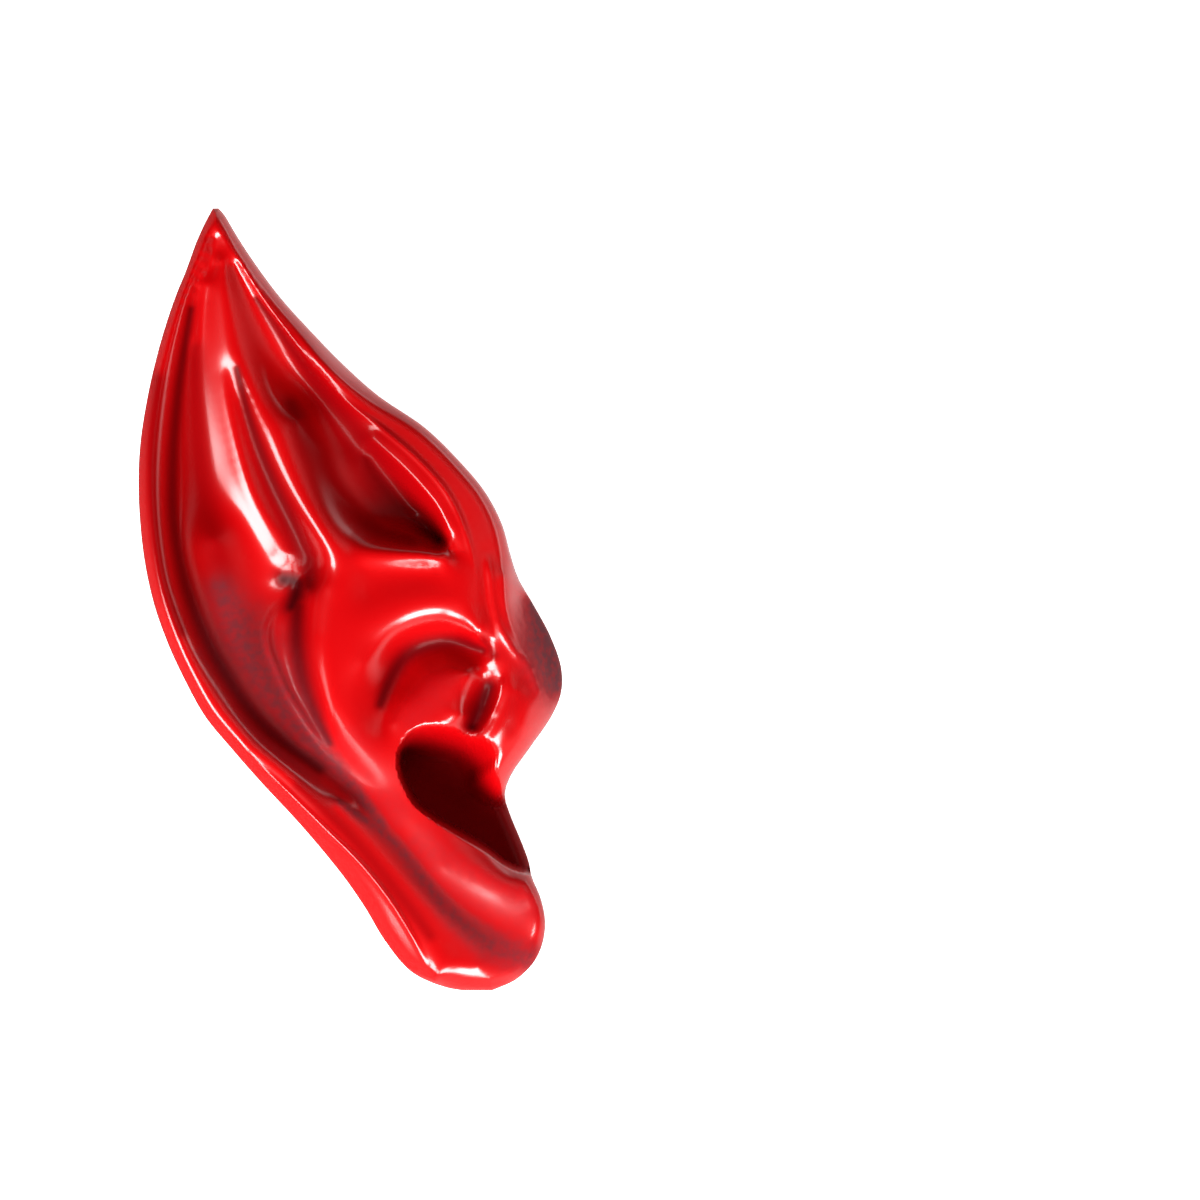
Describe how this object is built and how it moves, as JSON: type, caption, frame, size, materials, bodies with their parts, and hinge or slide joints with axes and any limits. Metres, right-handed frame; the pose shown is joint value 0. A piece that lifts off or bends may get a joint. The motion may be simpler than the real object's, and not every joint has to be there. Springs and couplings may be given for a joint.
{
  "type": "elf ear tip",
  "caption": "Pointed slip-on costume ear in glossy red latex: a thin hollow shell with moulded ear folds and an open back that goes over the wearer's ear.",
  "frame": {"origin": "middle of the bounding box at its underside, where the lip of the open back lies on the table", "axes": "+Y along the ear from the lobe to the tip, +X across it towards the wearer's face, +Z out of the moulded face"},
  "size_m": [0.0646, 0.12, 0.0228],
  "materials": {
    "latex": "glossy"
  },
  "bodies": {
    "root": {"ear_shell": "latex"}
  },
  "joints": []
}
